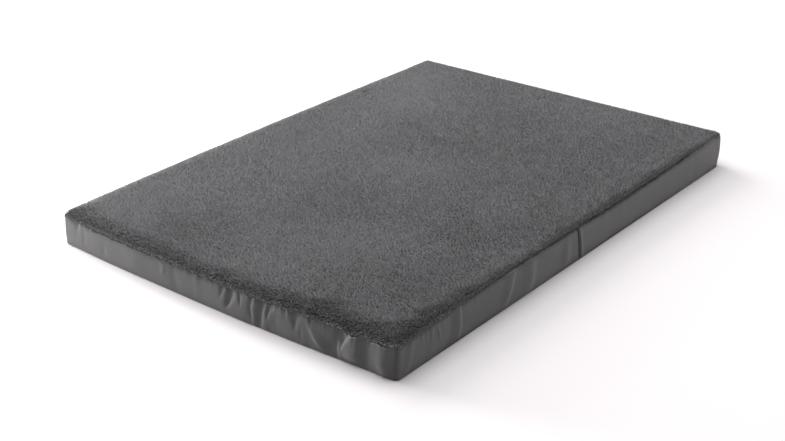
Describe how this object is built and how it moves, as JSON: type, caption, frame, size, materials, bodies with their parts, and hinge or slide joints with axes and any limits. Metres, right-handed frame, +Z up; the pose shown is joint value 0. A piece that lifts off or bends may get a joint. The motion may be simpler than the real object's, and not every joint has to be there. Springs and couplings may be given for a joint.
{
  "type": "pressure relief mattress",
  "caption": "Thin rectangular pressure relief pad: plush lying surface, satin boxing joined by slanted seams, zipped removable cover, liner and layered foam core.",
  "frame": {"origin": "middle of the underside, on the surface the pad lies on", "axes": "+X along the length towards the zipped short side, +Y across the width, +Z up out of the plush lying surface"},
  "size_m": [1.006, 0.701, 0.062],
  "materials": {
    "plush_pile": "short dense pile, matt",
    "boxing_fabric": "smooth satin weave",
    "base_fabric": "coated woven, matt",
    "zip_tape": "woven tape",
    "zip_coil": "nylon, satin",
    "slider_metal": "satin enamel over die casting",
    "zip_stops": "pressed metal",
    "thread": "spun polyester",
    "label": "satin ribbon, blank",
    "liner_film": "thin coated film",
    "memory_foam": "open-cell foam",
    "support_foam": "open-cell foam"
  },
  "bodies": {
    "mattress": {"top_panel": "plush_pile", "bottom_panel": "base_fabric", "front_boxing_strip": "boxing_fabric", "rear_boxing_strip_left": "boxing_fabric", "rear_boxing_strip_right": "boxing_fabric", "zip_panel_upper": "boxing_fabric", "zip_panel_lower": "boxing_fabric", "zip_tape_upper": "zip_tape", "zip_tape_lower": "zip_tape", "zip_coil_upper": "zip_coil", "zip_coil_lower": "zip_coil", "zip_top_stops": "zip_stops", "zip_bottom_stop": "zip_stops", "zip_end_tabs": "boxing_fabric", "zip_stitching": "thread", "top_seam_stitching": "thread", "bottom_seam_stitching": "thread", "side_seam_stitching": "thread", "care_label": "label", "inner_liner_upper": "liner_film", "inner_liner_lower": "liner_film", "memory_foam_layer": "memory_foam", "support_foam_base": "support_foam"},
    "slider": {"zip_slider": "slider_metal"},
    "pull_tab": {"zip_pull_tab": "slider_metal"}
  },
  "joints": [
    {"name": "zip_slide", "type": "slide", "parent": "mattress", "child": "slider", "axis": [0, 1, 0], "range_m": [0, 0.615], "deforming": ["zip_coil_upper", "zip_coil_lower"]},
    {"name": "zip_pull_hinge", "type": "hinge", "parent": "slider", "child": "pull_tab", "pos_m": [0.5035, -0.3117, 0.0266], "axis": [0, 0, -1], "range_deg": [0, 170]}
  ]
}
